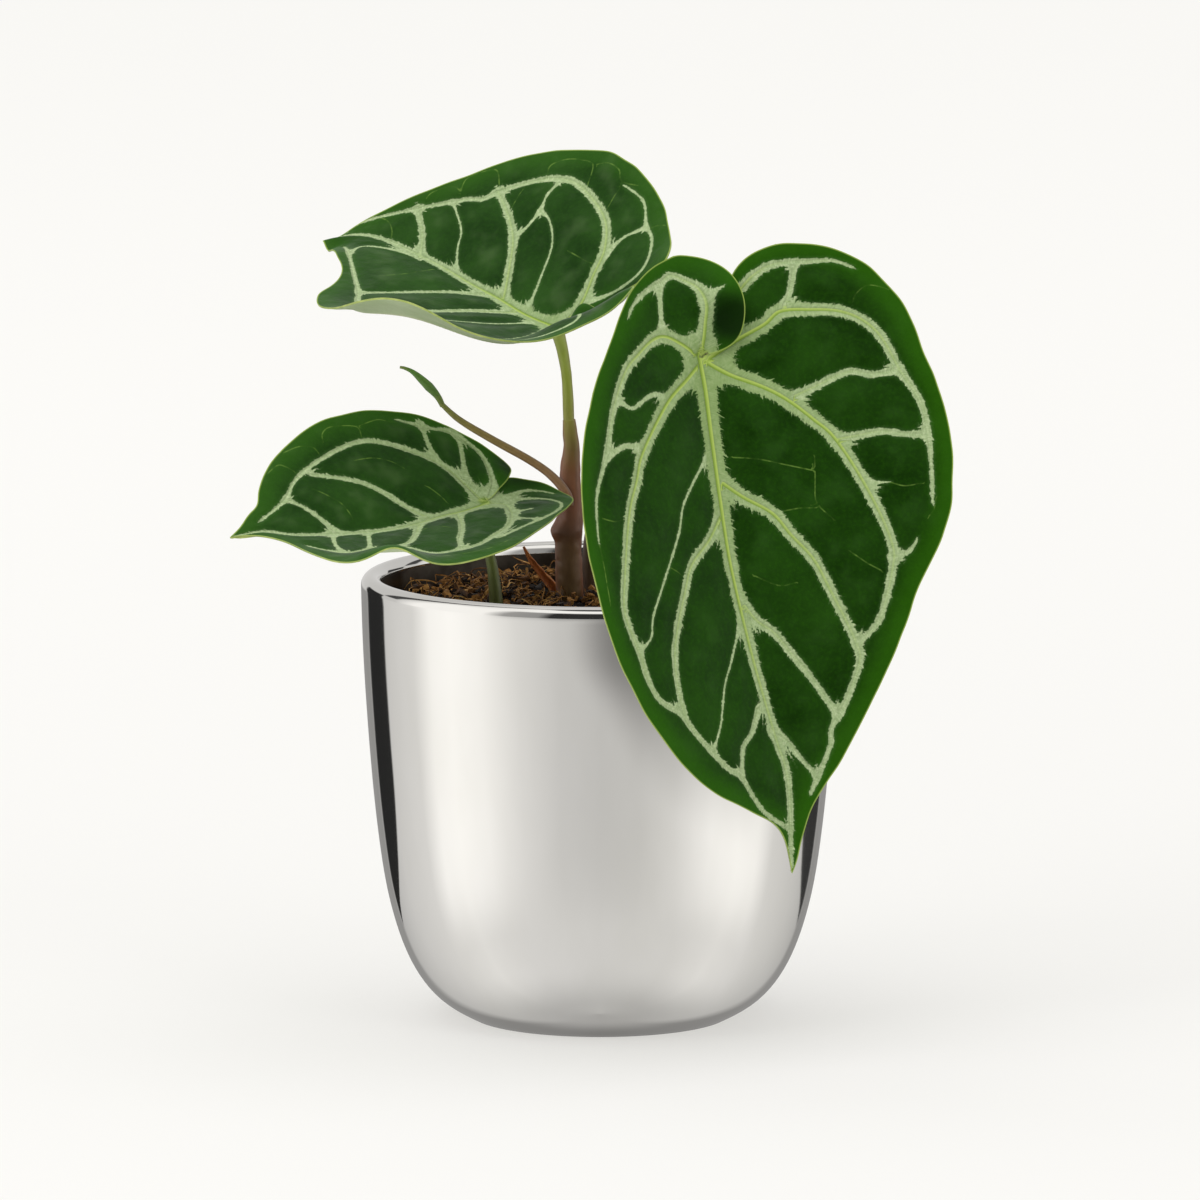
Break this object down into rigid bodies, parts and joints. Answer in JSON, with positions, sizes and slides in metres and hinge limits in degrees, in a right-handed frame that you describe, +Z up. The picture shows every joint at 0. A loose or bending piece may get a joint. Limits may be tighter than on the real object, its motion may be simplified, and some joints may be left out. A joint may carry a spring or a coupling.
{
  "type": "potted anthurium crystallinum house plant",
  "caption": "Potted house plant with broad heart-shaped velvety leaves, pale veins and thin stalks, a rolled young leaf, and soil in a round-based mirror-finish pot.",
  "frame": {"origin": "centre of the pot's flat foot, on the surface it stands on", "axes": "+Z up along the pot's axis and the plant's height, -Y towards the viewer with the large leaf hanging over the front rim, +X to the viewer's right"},
  "size_m": [0.2087, 0.1677, 0.2509],
  "materials": {
    "pot": "mirror-bright silver plating",
    "soil": "dark brown bark chips and coir fibre, rough",
    "stem": "purple-brown skin, olive where it catches light",
    "dried_sheath": "dry orange-brown sheath",
    "big_petiole": "olive-brown stalk",
    "big_blade": "velvety dark green with pale silver-green veins, pale green underside",
    "top_petiole": "olive-green stalk",
    "top_blade": "velvety dark green with pale silver-green veins, pale green underside",
    "low_petiole": "olive-green stalk",
    "low_blade": "velvety dark green with pale silver-green veins, pale green underside",
    "young_petiole": "brown-olive stalk",
    "young_blade": "mid green, rolled"
  },
  "bodies": {
    "root": {"pot": "pot", "soil": "soil", "stem": "stem", "dried_sheath": "dried_sheath", "big_petiole": "big_petiole", "big_blade": "big_blade", "top_petiole": "top_petiole", "top_blade": "top_blade", "low_petiole": "low_petiole", "low_blade": "low_blade", "young_petiole": "young_petiole", "young_blade": "young_blade"}
  },
  "joints": []
}
